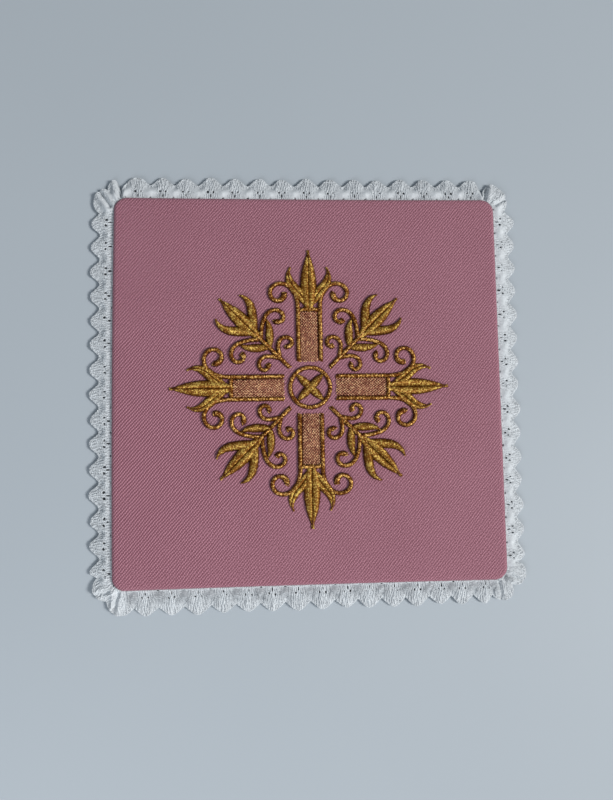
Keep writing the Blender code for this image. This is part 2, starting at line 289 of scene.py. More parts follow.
# How far lobes cover each side's threads, their painted shade (lighter on top, darker on the bottom
# side, as light falls) and height in mm, the threads' painted shade on each side (brightest on the left)
# and the painted shade they take on under a lobe, how far fans lean in at the seam, and the eyelets'
# size
LOBES = table(
    ("side", "cover", "shade", "lift", "thread_shade", "thread_shade_under_lobe", "fan", "eyelets"),
    ("right", 1.0, 0.82, 0.24, 0.82, 0.0, 0.20, 0.85),
    ("top", 1.0, 0.92, 0.30, 0.78, 0.0, 0.30, 0.85),
    ("left", 0.0, 1.00, 0.0, 1.02, 0.0, 0.0, 1.0),
    ("bottom", 1.5, 0.30, 0.0, 0.94, 0.66, 0.38, 0.72),
)

# Strokes start at a place in mm with a heading in degrees. Each run is its length in mm and its bend at
# the start and at the end in 1/mm, positive to the left. One arm and one sprig point along +Y.
STROKE_COLUMNS = ("kind", "start", "heading", "mirrored", "width", "runs")
ARM_STROKES = table(
    STROKE_COLUMNS,
    ("curl", (4.5, 10.4), 90, True, 1.7, ((21.5, 0, 0), (8.5, -0.03, -0.13), (22.0, -0.13, -0.42))),
    ("cord", (-4.5, 31.2), 14, False, 1.7, ((9.3, -0.053, -0.053),)),
    ("leaf", (0.0, 31.0), 90, False, 6.6, ((25.0, 0, 0),)),
    ("leaf", (0.8, 33.4), 62, True, 4.2, ((8.5, -0.03, -0.03), (9.5, 0.08, 0.2))),
)
SPRIG_STROKES = table(
    STROKE_COLUMNS,
    ("cord", (0.0, 11.2), 90, False, 1.7, ((21.5, 0, 0),)),
    ("curl", (0.2, 17.0), 58, True, 1.7,
     ((4.4, 0.03, -0.12), (5.6, -0.2, -0.36), (7.4, -0.36, -0.72))),
    ("curl", (0.3, 27.8), 46, True, 1.7,
     ((8.2, -0.03, -0.07), (8.6, -0.12, -0.32), (7.6, -0.32, -0.64))),
    ("leaf", (0.0, 29.0), 90, False, 6.0, ((22.0, 0, 0),)),
    ("leaf", (0.2, 22.6), 50, True, 3.4, ((5.5, -0.02, -0.02), (6.5, 0.05, 0.12))),
    ("leaf", (0.6, 31.0), 60, True, 3.8, ((8.5, -0.02, -0.02), (9.0, 0.08, 0.2))),
)
PETAL_STROKES = table(STROKE_COLUMNS, ("leaf", (0.0, -1.5), 90, False, 3.4, ((9.2, 0, 0),)))

rng = np.random.default_rng(SEED)


# Meshes

def make_piece(name, points, faces, material):
    mesh = bpy.data.meshes.new(name)
    mesh.from_pydata([tuple(p) for p in np.asarray(points).tolist()], [], faces)
    mesh.validate()
    mesh.update()
    mesh.polygons.foreach_set("use_smooth", [True] * len(mesh.polygons))
    mesh.materials.append(material)
    made = bpy.data.objects.new(name, mesh)
    bpy.context.scene.collection.objects.link(made)
    return made


def set_shade(piece, values):
    """Keeps one number a point, which the material reads as its tone: painted shade where it is low,
    painted light where it is high, with random tone.
    """
    attribute = piece.data.attributes.new("shade", "FLOAT", "POINT")
    attribute.data.foreach_set("value", np.asarray(values, dtype=np.float32))


def unit(v):
    return v / np.maximum(np.linalg.norm(v, axis=-1, keepdims=True), 1e-12)


def tubes(lines, radii, sides, closed=False):
    """Points and faces of a tube along each line, whose radii are given point by point."""
    count, length, _ = lines.shape
    if closed:
        ahead = np.roll(lines, -1, axis=1)
        behind = np.roll(lines, 1, axis=1)
    else:
        ahead = np.concatenate([lines[:, 1:], lines[:, -1:]], axis=1)
        behind = np.concatenate([lines[:, :1], lines[:, :-1]], axis=1)
    along = unit(ahead - behind)
    side = unit(np.cross(along, np.array([0.0, 0.0, 1.0])))
    up = np.cross(side, along)
    angles = np.arange(sides) * 2 * math.pi / sides + math.pi / sides
    ring = np.cos(angles)[:, None] * side[:, :, None, :] + np.sin(angles)[:, None] * up[:, :, None, :]
    points = (lines[:, :, None, :] + radii[:, :, None, None] * ring).reshape(-1, 3)
    spans = length if closed else length - 1
    t = np.arange(count)[:, None, None]
    i = np.arange(spans)[None, :, None]
    k = np.arange(sides)[None, None, :]
    low = (t * length + i) * sides
    high = (t * length + (i + 1) % length) * sides
    next_k = (k + 1) % sides
    quads = np.stack([low + k, low + next_k, high + next_k, high + k], axis=-1).reshape(-1, 4)
    faces = quads.tolist()
    if not closed:
        first = (np.arange(count) * length * sides)[:, None] + np.arange(sides)[None, ::-1]
        last = ((np.arange(count) * length + length - 1) * sides)[:, None] + np.arange(sides)[None, :]
        faces += first.tolist() + last.tolist()
    return points, faces


def ring_faces(rings, size):
    """Faces between rings of equal size, one after another, and one over each end."""
    faces = []
    for ring in range(rings - 1):
        low = ring * size
        for i in range(size):
            j = (i + 1) % size
            faces.append((low + size + i, low + size + j, low + j, low + i))
    faces.append(tuple(range(size)))
    faces.append(tuple(reversed(range((rings - 1) * size, rings * size))))
    return faces


def joined(parts):
    """Several (points, faces, shades) as one."""
    points = []
    faces = []
    shades = []
    base = 0
    for some_points, some_faces, some_shades in parts:
        points.append(some_points)
        faces += [[base + index for index in face] for face in some_faces]
        shades.append(some_shades)
        base += len(some_points)
    return np.concatenate(points), faces, np.concatenate(shades)


def make_shaded_piece(name, parts, material):
    """One piece of several (points, faces, shades)."""
    points, faces, shades = joined(parts)
    piece = make_piece(name, points, faces, material)
    set_shade(piece, shades)
    return piece


# Outline of the panel, as in the solids

def turned(x, y, degrees):
    c = math.cos(math.radians(degrees))
    s = math.sin(math.radians(degrees))
    return x * c - y * s, x * s + y * c


def corner_radius(index):
    return CORNERS[index % 4]["radius"] * MM


def corner_arc(index):
    return corner_radius(index) * math.pi / 2


def side_span(index):
    return corner_radius(index - 1), 2 * HALF_SIDE - corner_radius(index)


def side_sample(index, along):
    side = SIDES[index]
    start, end = side_span(index)
    middle = (2 * along - start - end) / (end - start)
    x = HALF_SIDE + side["bow"] * MM * (1 - middle ** 2)
    return (*turned(x, along - HALF_SIDE, side["turn"]), *turned(1, 0, side["turn"]))


def corner_sample(index, share):
    radius = corner_radius(index)
    centre = HALF_SIDE - radius
    nx, ny = turned(1, 0, 90 * share)
    turn = SIDES[index]["turn"]
    return (*turned(centre + radius * nx, centre + radius * ny, turn), *turned(nx, ny, turn))


def outline_place(index, beyond):
    place = beyond
    for earlier in range(index):
        start, end = side_span(earlier)
        place += end - start + corner_arc(earlier)
    return place


def outline_table():
    """Place, point and outward direction of close samples all the way round."""
    rows = []
    for index in range(4):
        start, end = side_span(index)
        steps = round((end - start) / SAMPLE_STEP)
        for step in range(steps):
            beyond = (end - start) * step / steps
            rows.append((outline_place(index, beyond), *side_sample(index, start + beyond)))
        arc = corner_arc(index)
        steps = round(arc / SAMPLE_STEP)
        for step in range(steps):
            share = step / steps
            place = outline_place(index, end - start + arc * share)
            rows.append((place, *corner_sample(index, share)))
    rows.append((outline_place(4, 0.0), *rows[0][1:]))
    return np.array(rows)


OUTLINE = outline_table()
PERIMETER = OUTLINE[-1, 0]


def outline_at(place):
    """Points and outward directions, two numbers each, at places round the outline."""
    place = np.mod(place, PERIMETER)
    x, y, nx, ny = (np.interp(place, OUTLINE[:, 0], OUTLINE[:, k]) for k in range(1, 5))
    size = np.hypot(nx, ny)
    return np.stack([x, y], -1), np.stack([nx / size, ny / size], -1)


def gap_round(place, start):
    """How far places lie beyond a start, the short way round the outline."""
    half = PERIMETER / 2
    return np.mod(place - start + half, PERIMETER) - half


# Teeth of the lace, as in the solids

TOOTH_COLUMNS = ("place", "reach", "lift", "squareness", "valley_round", "side", "valley", "valley_at",
                 "eyelets")


def waver(number, size):
    """A small repeatable unevenness for the tooth of this number."""
    return size * math.sin(number * 2.4) * math.cos(number * 0.9 + 0.6)


def blend(first, last, share):
    return first + (last - first) * share


def side_teeth(index, number):
    side = SIDES[index]
    reach = SIDE_REACH[index]
    teeth = []
    for k in range(side["teeth"]):
        share = k / (side["teeth"] - 1)
        along = blend(side["first_tip"], side["last_tip"], share)
        along += side["crowding"] * 4 * share * (1 - share)
        place = outline_place(index, along * MM - side_span(index)[0])
        tip = blend(reach["tip_start"], reach["tip_end"], share)
        valley, valley_at = reach["first_valley"], reach["first_valley_at"]
        if k:
            valley, valley_at = blend(reach["valley_start"], reach["valley_end"], share), 0.5
        teeth.append((
            place + waver(number + k + 3, TIP_WAVER), tip * MM + waver(number + k, REACH_WAVER), 0.0,
            side["squareness"], side["valley_round"], index, valley * MM, valley_at, True,
        ))
    return table(TOOTH_COLUMNS, *teeth)


def corner_teeth(index):
    start, end = side_span(index)
    teeth = []
    for tooth in CORNER_TEETH:
        if tooth["corner"] == CORNERS[index]["name"]:
            place = outline_place(index, end - start + corner_arc(index) * tooth["share"])
            teeth.append((
                place, tooth["reach"] * MM, tooth["lift"] * MM, tooth["squareness"], 0.0, index,
                tooth["valley"] * MM, tooth["valley_at"], False,
            ))
    return table(TOOTH_COLUMNS, *teeth)


def edging_teeth():
    teeth = []
    for index in range(4):
        teeth += side_teeth(index, len(teeth))
        teeth += corner_teeth(index)
    return teeth


TEETH = edging_teeth()


def tooth_rise(tooth, depth, phase):
    """How much of its depth a tooth has risen from its valley, at phase 0, to its tip, at phase 1."""
    power = tooth["squareness"] + PLEAT_SHARPENING * max(0.0, depth - USUAL_DEPTH) / MM
    sharp = 1 - (1 - phase) ** power
    smooth = (1 - math.cos(math.pi * min(1.0, TIP_FLATNESS * phase))) / 2
    return blend(sharp, smooth, tooth["valley_round"] if depth < PLEAT_DEPTH else 0.0)


def flank_rows(tooth, valley_place, valley, phases):
    depth = tooth["reach"] - valley
    rows = []
    for phase in phases:
        place = blend(valley_place, tooth["place"], phase)
        reach = valley + depth * tooth_rise(tooth, depth, phase)
        rows.append((place, reach, tooth["lift"] * phase, phase))
    return rows


def tooth_table():
    """Place, reach, lift and phase of close samples all the way round."""
    rows = []
    for number, tooth in enumerate(TEETH):
        before = TEETH[number - 1]["place"] - (PERIMETER if number == 0 else 0.0)
        after = TEETH[(number + 1) % len(TEETH)]
        after_place = after["place"] + (PERIMETER if number == len(TEETH) - 1 else 0.0)
        valley_before = blend(before, tooth["place"], tooth["valley_at"])
        valley_after = blend(tooth["place"], after_place, after["valley_at"])
        rising = [k / FLANK_STEPS for k in range(FLANK_STEPS)]
        rows += flank_rows(tooth, valley_before, tooth["valley"], rising)
        rows += flank_rows(tooth, valley_after, after["valley"], [1.0] + rising[:0:-1])
    return np.array(rows)


TOOTH_TABLE = tooth_table()


def tooth_at(place):
    """Reach, lift and phase at places round the outline."""
    start = TOOTH_TABLE[0, 0]
    place = start + np.mod(place - start, PERIMETER)
    places = np.append(TOOTH_TABLE[:, 0], start + PERIMETER)
    columns = [np.append(TOOTH_TABLE[:, k], TOOTH_TABLE[0, k]) for k in (1, 2, 3)]
    return tuple(np.interp(place, places, column) for column in columns)


def eyelet_table():
    """Place, distance out, and half sizes along and across the edge of every hole."""
    holes = []
    for tooth in TEETH:
        if not tooth["eyelets"]:
            continue
        shift = rng.uniform(-0.12, 0.12) * MM
        size = rng.uniform(0.86, 1.08) * LOBES[tooth["side"]]["eyelets"]
        for side in (-1, 1):
            out = EYELET_OUT + rng.uniform(-0.15, 0.15) * MM
            place = tooth["place"] + shift + side * EYELET_SPREAD * rng.uniform(0.92, 1.08)
            tall = EYELET_RADIUS * size * rng.uniform(0.95, 1.2)
            holes.append((place, out, EYELET_RADIUS * size, tall))
        slit = SLIT_LENGTH * rng.uniform(0.8, 1.2)
        holes.append((tooth["place"] + shift, SLIT_OUT, SLIT_WIDTH, slit))
        notch = NOTCH_SIZE * rng.uniform(0.7, 1.3)
        holes.append((tooth["place"] + NOTCH_BESIDE, NOTCH_OUT, NOTCH_SIZE, notch))
    return np.array(holes)


EYELETS = eyelet_table()


def hole_distance(place, out):
    """For each point the distance from the nearest hole's middle, 1 at its rim, and its number."""
    best = np.full(np.shape(place), np.inf)
    which = np.zeros(np.shape(place), dtype=int)
    for number, (hole_place, hole_out, along, across) in enumerate(EYELETS):
        gap = gap_round(place, hole_place)
        near = np.abs(gap) < HOLE_RANGE
        distance = np.full(np.shape(place), np.inf)
        distance[near] = np.hypot(gap[near] / along, (out[near] - hole_out) / across)
        closer = distance < best
        best[closer] = distance[closer]
        which[closer] = number
    return best, which


def push_from_holes(place, out):
    """Moves points straight away from every hole's middle, so that they leave it open."""
    distance, which = hole_distance(place, out)
    hole = EYELETS[which]
    gap = gap_round(place, hole[..., 0])
    inside = distance < PUSH_RANGE
    factor = np.ones_like(distance)
    safe = np.maximum(distance, 1e-3)
    factor[inside] = (1 + (PUSH_RANGE - 1) * safe[inside] / PUSH_RANGE) / safe[inside]
    return place + gap * (factor - 1), out + (out - hole[..., 1]) * (factor - 1)


def passing(off, run, half_off, half_run):
    """How far threads move to pass a hole on one side, off and run being across and along them."""
    middle = np.expand_dims(np.argmin(np.abs(run), axis=-1), -1)
    side = np.where(np.take_along_axis(off, middle, -1) < 0, -1.0, 1.0)
    rim = half_off * np.sqrt(np.clip(1 - (run / (1.3 * half_run)) ** 2, 0, 1))
    moved = side * np.hypot(off, rim) - off
    return np.where(off * side < 0, moved * np.minimum(1, 1.5 * rim / half_off), moved)


def part_round_holes(place, out, sideways):
    """Leads threads round the holes, moved along the edge if sideways, or else in and out."""
    place = place.copy()
    out = out.copy()
    for hole_place, hole_out, along, across in EYELETS:
        gap = gap_round(place, hole_place)
        rise = out - hole_out
        near = (np.abs(gap) < HOLE_RANGE) & (np.abs(rise) < HOLE_RANGE)
        if sideways:
            place[near] += passing(gap, rise, along, across)[near]
        else:
            out[near] += passing(rise, gap, across, along)[near]
    return place, out


def bell(value, middle, width, power=2):
    """1 at its middle, fading to 0 on both sides."""
    return np.exp(-((value - middle) / width) ** power)


def pleat_rise(flat):
    """Height gained on the lobes beside each pleat and lost along its groove."""
    rise = np.zeros(flat.shape[:-1])
    for pleat in PLEATS:
        start = np.array(pleat["rim"]) * MM
        end = np.array(pleat["seam"]) * MM
        along = end - start
        share = np.clip(((flat - start) @ along) / (along @ along), -0.15, 1.0)
        gap = np.linalg.norm(flat - start - share[..., None] * along, axis=-1)
        middle, width = (size * pleat["width"] * MM for size in PLEAT_LOBE_BELL)
        groove = bell(gap, 0.0, pleat["width"] * MM)
        lobes = bell(gap, middle, width)
        rise += MM * pleat["depth"] * (0.55 * lobes - groove)
    return rise


def lace_surface(place, share, lift, spread=push_from_holes, inset=0.0):
    """Points of the lace at places round the edge, shares of the way out and heights above it."""
    reach, tip_lift, phase = tooth_at(place)
    place, out = spread(place, (reach - inset) * share)
    base, normal = outline_at(place)
    flat = base + normal * out[..., None]
    puff = LACE_PUFF * phase * np.sin(math.pi * np.clip(share, 0, 1))
    patch = PATCH_HEIGHT * (1 - phase) ** 1.6 * bell(share, *PATCH_BELL)
    roll = ROLL_HEIGHT * bell(share, *ROLL_BELL)
    ripple = RIPPLE_HEIGHT * np.sin(place / MM * 1.7 + share * 5) * share
    z = blend(LACE_INNER_Z, LACE_OUTER_Z, share) + puff + patch + roll + ripple + tip_lift * share
    z = np.maximum(z + pleat_rise(flat), LOWEST_LACE)
    return np.concatenate([flat, (z + lift)[..., None]], -1)


def even_places(step, share=0.6):
    """Places round the edge whose points on the lace are evenly spaced."""
    fine = np.arange(0, PERIMETER, SAMPLE_STEP)
    reach, _, _ = tooth_at(fine)
    base, normal = outline_at(fine)
    flat = base + normal * (np.mean(reach) * share)
    gaps = np.linalg.norm(np.roll(flat, -1, axis=0) - flat, axis=-1)
    run = np.concatenate([[0.0], np.cumsum(gaps)])
    count = round(run[-1] / step)
    return np.interp(np.arange(count) / count * run[-1], run, np.append(fine, PERIMETER))


def corner_share(place):
    """1 on the corners' own arcs, fading to 0 beside them."""
    place = np.mod(place, PERIMETER)
    near = np.zeros(np.shape(place))
    for index in range(4):
        start, end = side_span(index)
        before = outline_place(index, end - start) - place
        beyond = place - outline_place(index + 1, 0.0)
        gap = np.maximum(np.maximum(before, beyond), 0.0)
        near = np.maximum(near, np.clip(1 - gap / CORNER_FADE, 0, 1))
    return near


def lobe_cover(place, share):
    """How closely the threads cover the lace, 1 on the smooth lobes between the fans."""
    _, _, phase = tooth_at(place)
    between_fans = (1 - phase) ** 1.3 * bell(share, *COVER_BELL)
    between_fans = np.minimum(lobe_values("cover", place) * between_fans, 1.0)
    at_corner = CORNER_COVER * corner_share(place) * bell(share, *CORNER_BELL)
    return np.maximum(between_fans, at_corner)


def fan_shift(places):
    """How far threads lean in at the seam, towards the middle of their own tooth."""
    tips = np.array([tooth["place"] for tooth in TEETH])
    gaps = gap_round(places[:, None], tips)
    nearest = gaps[np.arange(len(places)), np.argmin(np.abs(gaps), axis=1)]
    return lobe_values("fan", places) * np.clip(nearest, -FAN_REACH, FAN_REACH)


def side_at(place):
    """Number of the side, with the corner that ends it, at places round the outline."""
    starts = [outline_place(index, 0.0) for index in range(4)]
    return np.searchsorted(starts, np.mod(place, PERIMETER), side="right") - 1


def lobe_values(column, place):
    """One column of the lobes' table at places round the outline."""
    return np.array([lobe[column] for lobe in LOBES])[side_at(place)]


def make_lace_ground(material):
    """The close cotton ground under the threads, one thin cloth with its eyelets open."""
    places = even_places(GROUND_STEP)
    shares = np.linspace(0.0, GROUND_END, GROUND_ROWS)
    place, share = np.meshgrid(places, shares, indexing="ij")
    cover = lobe_cover(place, share)
    lobe_lift = lobe_values("lift", place) * MM
    lobe_shade = lobe_values("shade", place)
    points = lace_surface(place, share, blend(GROUND_LIFT, lobe_lift, cover), inset=RIM_RADIUS)
    reach, _, _ = tooth_at(place)
    columns, rows = share.shape
    i, k = np.meshgrid(np.arange(columns), np.arange(rows - 1), indexing="ij")
    j = (i + 1) % columns
    low = i * rows + k
    high = j * rows + k
    quads = np.stack([low, high, high + 1, low + 1], -1).reshape(-1, 4)
    moved_place, moved_out = push_from_holes(place, reach * share)
    first = moved_place.reshape(-1)[quads[:, :1]]
    beyond = gap_round(moved_place.reshape(-1)[quads], first)
    middle_place = (first + beyond).mean(1)
    middle_out = moved_out.reshape(-1)[quads].mean(1)
    distance, _ = hole_distance(middle_place, middle_out)
    quads = quads[distance > GROUND_HOLE]
    piece = make_piece("lace_ground", points.reshape(-1, 3), quads.tolist(), material)
    # Painted shade: the ground greyer in the gaps between threads, and the lobes lighter or darker by
    # side as light falls
    set_shade(piece, blend(GROUND_SHADE, lobe_shade, cover).reshape(-1))
    thick = piece.modifiers.new("thickness", "SOLIDIFY")
    thick.thickness = GROUND_THICKNESS
    thick.offset = 0.0
    return piece


def lead_out(place, out):
    return part_round_holes(place, out, False)


def lead_sideways(place, out):
    return part_round_holes(place, out, True)


def make_lace_passives(material):
    """Threads that run the length of the lace."""
    places = even_places(PASSIVE_STEP)
    shares = np.linspace(0.08, 0.92, PASSIVES)
    parts = []
    for number, share in enumerate(shares):
        wobble = 0.014 * np.sin(places / MM * 0.83 + number * 2.1)
        wobble += rng.normal(0, 0.006, len(places))
        weave = WEAVE_DEPTH * np.cos(math.pi * (np.arange(len(places)) + number // 2))
        lift = blend(weave + PASSIVE_LIFT, COVERED_LIFT, lobe_cover(places, share + wobble))
        line = lace_surface(places, share + wobble, lift, lead_out, RIM_RADIUS)
        radius = PASSIVE_RADIUS * rng.uniform(0.85, 1.15, len(places))
        points, faces = tubes(line[None], radius[None], 4, closed=True)
        shade = PASSIVE_SHADE + 0.2 * np.sin(places / MM * 2.9 + number)
        shade += rng.normal(0, 0.08, len(places))
        parts.append((points, faces, np.repeat(shade, 4)))
    return make_shaded_piece("lace_passives", parts, material)


def make_lace_rim(material):
    """The thick thread along the teeth and the one along the seam."""
    places = even_places(RIM_STEP, 0.95)
    knots = np.arange(len(places))
    parts = []
    for share, radius, swell in ((1.0, RIM_RADIUS, 0.24), (SEAM_SHARE, SEAM_RADIUS, 0.2)):
        shares = np.full(len(places), share)
        line = lace_surface(places, shares, RIM_LIFT, lead_out, radius)
        twist = swell * np.sin(knots * math.pi / 1.5)
        radii = radius * (1 + twist + rng.normal(0, RIM_UNEVENNESS[0], len(places)))
        points, faces = tubes(line[None], radii[None], 6, closed=True)
        shade = RIM_SHADE + rng.normal(0, RIM_UNEVENNESS[1], len(places))
        parts.append((points, faces, np.repeat(shade, 6)))
    return make_shaded_piece("lace_rim", parts, material)


def make_lace_weavers(material):
    """Threads that zigzag across the lace from the seam to the rim, neighbours mirrored."""
    parts = []
    for family, swing in ((0, 1.0), (1, -1.0)):
        places = even_places(WEAVER_PITCH)
        count = len(places)
        places = places + family * WEAVER_PITCH * 0.35
        places = places + rng.normal(0, 0.13, count) * MM
        share = np.linspace(0.0, 1.0, WEAVER_POINTS)[None, :].repeat(count, 0)
        bend = 2 / math.pi * np.arcsin(np.sin(math.pi * WEAVER_BENDS * share + WEAVER_START))
        drift = rng.normal(0, 0.28, (count, 1)) * MM
        place = places[:, None] + swing * WEAVER_SWING * bend + drift * share
        place -= fan_shift(places)[:, None] * (1 - share)
        weave = swing * WEAVE_DEPTH * np.cos(math.pi * share * 2 * WEAVER_BENDS)
        lift = blend(weave + WEAVER_LIFT, COVERED_LIFT, lobe_cover(place, share))
        lines = lace_surface(place, share, lift, lead_sideways, RIM_RADIUS)
        radii = WEAVER_RADIUS * rng.uniform(0.8, 1.15, (count, 1))
        radii = radii * (1 + rng.normal(0, 0.06, share.shape))
        points, faces = tubes(lines, radii, 4)
        # Painted shade: each side's threads lighter or darker as light falls on that side, darker still
        # under the bottom side's lobes, with random tone on top
        shade = lobe_values("thread_shade", place) + rng.normal(0, 0.08, (count, 1))
        shade += rng.normal(0, 0.12, share.shape)
        shade -= lobe_values("thread_shade_under_lobe", place) * lobe_cover(place, share)
        parts.append((points, faces, np.repeat(shade.reshape(-1), 4)))
    return make_shaded_piece("lace_weavers", parts, material)


# Panel

def panel_section():
    """Inset, height and length of cloth so far at each ring over the edge, from the top to below."""
    angles = [math.pi / 2 * step / ROLL_STEPS for step in range(ROLL_STEPS + 1)]
    section = []
    for angle in angles:
        z = THICKNESS - TOP_ROLL * (1 - math.cos(angle))
        section.append((TOP_ROLL * (1 - math.sin(angle)), z, TOP_ROLL * angle))
    for angle in angles:
        length = TOP_ROLL * math.pi / 2 + THICKNESS - TOP_ROLL - UNDER_ROLL + UNDER_ROLL * angle
        section.append((UNDER_ROLL * (1 - math.cos(angle)), UNDER_ROLL * (1 - math.sin(angle)), length))
    return section


def panel_places():
    """Places round the panel, closer together at the corners."""
    places = []
    for index in range(4):
        start, end = side_span(index)
        arc = corner_arc(index)
        beyond = [(end - start) * k / SIDE_COLUMNS for k in range(SIDE_COLUMNS)]
        beyond += [end - start + arc * k / CORNER_COLUMNS for k in range(CORNER_COLUMNS)]
        places += [outline_place(index, step) for step in beyond]
    return np.array(places)


def top_unevenness(x, y):
    """Slight hollows and swells of the wrapped cloth, in radians to a metre, fading out at the edge."""
    edge = np.minimum(HALF_SIDE - np.abs(x), HALF_SIDE - np.abs(y)) / SWELL_FADE
    fade = np.clip(edge, 0, 1)
    wave = np.sin(x * 61 + 0.7) * np.cos(y * 47 - 0.4) + 0.6 * np.sin(x * 23 - y * 31)
    return SWELL_HEIGHT * wave * fade


def make_panel(material):
    """The wrapped board: rings from the middle of the top, over the rolled edge and in under it."""
    places = panel_places()
    base, normal = outline_at(places)
    count = len(places)
    rings = []
    cloth = []
    inner = base - normal * TOP_ROLL
    for step in range(1, TOP_RINGS):
        share = step / TOP_RINGS
        flat = inner * share
        z = THICKNESS + top_unevenness(flat[:, 0], flat[:, 1])
        rings.append(np.column_stack([flat, z]))
        cloth.append(flat)
    for inset, z, length in panel_section():
        flat = base - normal * inset
        rings.append(np.column_stack([flat, np.full(count, z)]))
        cloth.append(inner + normal * length)
    under = base - normal * UNDER_ROLL
    for step in range(UNDER_RINGS):
        share = UNDER_END * (1 - step / UNDER_RINGS)
        rings.append(np.column_stack([under * share, np.zeros(count)]))
        cloth.append(under * share)
    points = np.concatenate(rings)
    flat_cloth = np.concatenate(cloth)
    piece = make_piece("panel_cloth", points, ring_faces(len(rings), count), material)
    layer = piece.data.uv_layers.new(name="cloth")
    corners = np.empty(len(piece.data.loops), dtype=np.int64)
    piece.data.loops.foreach_get("vertex_index", corners)
    places_on_cloth = flat_cloth[corners] / CLOTH_SPAN + 0.5
    layer.data.foreach_set("uv", places_on_cloth.astype(np.float32).reshape(-1))
    return piece


# Stitching

def traced(stroke):
    """Points and headings along a stroke whose bend changes evenly within each of its runs."""
    x, y = (value * MM for value in stroke["start"])
    heading = math.radians(stroke["heading"])
    path = [(x, y, heading)]
    for length, first_bend, last_bend in stroke["runs"]:
        count = max(3, round(length * MM / TRACE_STEP))
        stride = length * MM / count
        for i in range(count):
            bend = blend(first_bend, last_bend, (i + 0.5) / count) / MM
            heading += bend * stride / 2
            x += stride * math.cos(heading)
            y += stride * math.sin(heading)
            heading += bend * stride / 2
            path.append((x, y, heading))
    return np.array(path)


def placed(path, degrees, mirror):
    """A path mirrored left to right if asked, then turned about the middle."""
    x, y, heading = path.T
    if mirror:
        x = -x
        heading = math.pi - heading
    return np.column_stack([*turned(x, y, degrees), heading + math.radians(degrees)])


def path_frame(path):
    """Directions across and along a path at each of its points."""
    cosines = np.cos(path[:, 2])
    sines = np.sin(path[:, 2])
    return np.column_stack([-sines, cosines]), np.column_stack([cosines, sines])


def stroke_widths(kind, share, width):
    if kind == "leaf":
        belly = np.sin(math.pi * share ** LEAF_FULLNESS) ** LEAF_FULLNESS
        return width * np.maximum(0.14, belly)
    if kind == "curl":
        end = np.clip((share - (1 - CURL_END)) / CURL_END, 0, 1)
        return width * (1 + 0.45 * np.sin(end * math.pi * 0.75))
    return width * np.ones_like(share)


def at_even_steps(path, step):
    """A path and its shares at even steps along it."""
    gaps = np.hypot(np.diff(path[:, 0]), np.diff(path[:, 1]))
    run = np.concatenate([[0.0], np.cumsum(gaps)])
    count = max(3, round(run[-1] / step))
    at = (np.arange(count) + 0.5) / count * run[-1]
    return np.column_stack([np.interp(at, run, path[:, k]) for k in range(3)]), at / run[-1]


def arches(left, right, heights, points_each, radius, skew=0.0):
    """Threads arching from left to right points, and how near each of their points is to the crown."""
    across = np.linspace(-1, 1, points_each)
    fall = np.abs(across - skew) ** 2.3 / (1 + abs(skew)) ** 2.3
    rise = np.clip(1 - fall, 0, 1) ** 0.55
    middle = (left + right) / 2
    half = (right - left) / 2
    flat = middle[:, None, :] + half[:, None, :] * across[None, :, None]
    z = THICKNESS + STITCH_CLEARANCE + heights[:, None] * rise[None, :]
    lines = np.concatenate([flat, z[..., None]], -1)
    taper = blend(STITCH_END, 1.0, rise)
    radii = radius * rng.uniform(0.88, 1.12, (len(left), 1)) * taper[None, :]
    # The shade number is the nearness to the crown, which the gold paints as light on the crown and
    # shade at the ends
    shades = np.broadcast_to(rise[None, :], radii.shape)
    return lines, radii, shades


def thread_part(lines, radii, shades):
    points, faces = tubes(lines, radii, STITCH_SIDES)
    return points, faces, np.repeat(shades.reshape(-1), STITCH_SIDES)


def underlay(path, widths, height):
    """The padding under satin stitches, a low rounded ridge."""
    section = [(-across, up) for across, up in BED_HALF] + [BED_CROWN] + list(reversed(BED_HALF))
    normal, _ = path_frame(path)
    rings = [
        np.column_stack([path[:, :2] + normal * (widths * across)[:, None],
                         np.full(len(path), THICKNESS + height * up)])
        for across, up in section
    ]
    points = np.stack(rings, 1).reshape(-1, 3)
    # Its shade number 0 paints it darkest brown: painted shade where it shows between the stitches
    return points, ring_faces(len(path), len(section)), np.zeros(len(points))


def satin(path, kind, width, height, points_each=SATIN_POINTS):
    """Slanting satin stitches side by side along a path."""
    steps, share = at_even_steps(path, STITCH_PITCH)
    widths = stroke_widths(kind, share, width)
    normal, along = path_frame(steps)
    ragged = rng.normal(0, SATIN_RAGGEDNESS, (2, len(steps)))
    slant = along * CORD_SLANT / 2
    left = steps[:, :2] + normal * (widths / 2 + ragged[0])[:, None] + slant
    right = steps[:, :2] - normal * (widths / 2 + ragged[1])[:, None] - slant
    low_ends = np.clip(np.minimum(share, 1 - share) * len(steps) / 3, 0.45, 1)
    heights = height * low_ends * rng.uniform(0.95, 1.05, len(steps))
    bed, bed_share = at_even_steps(path, BED_STEP)
    return [
        thread_part(*arches(left, right, heights, points_each, STITCH_RADIUS)),
        underlay(bed, stroke_widths(kind, bed_share, width), height),
    ]


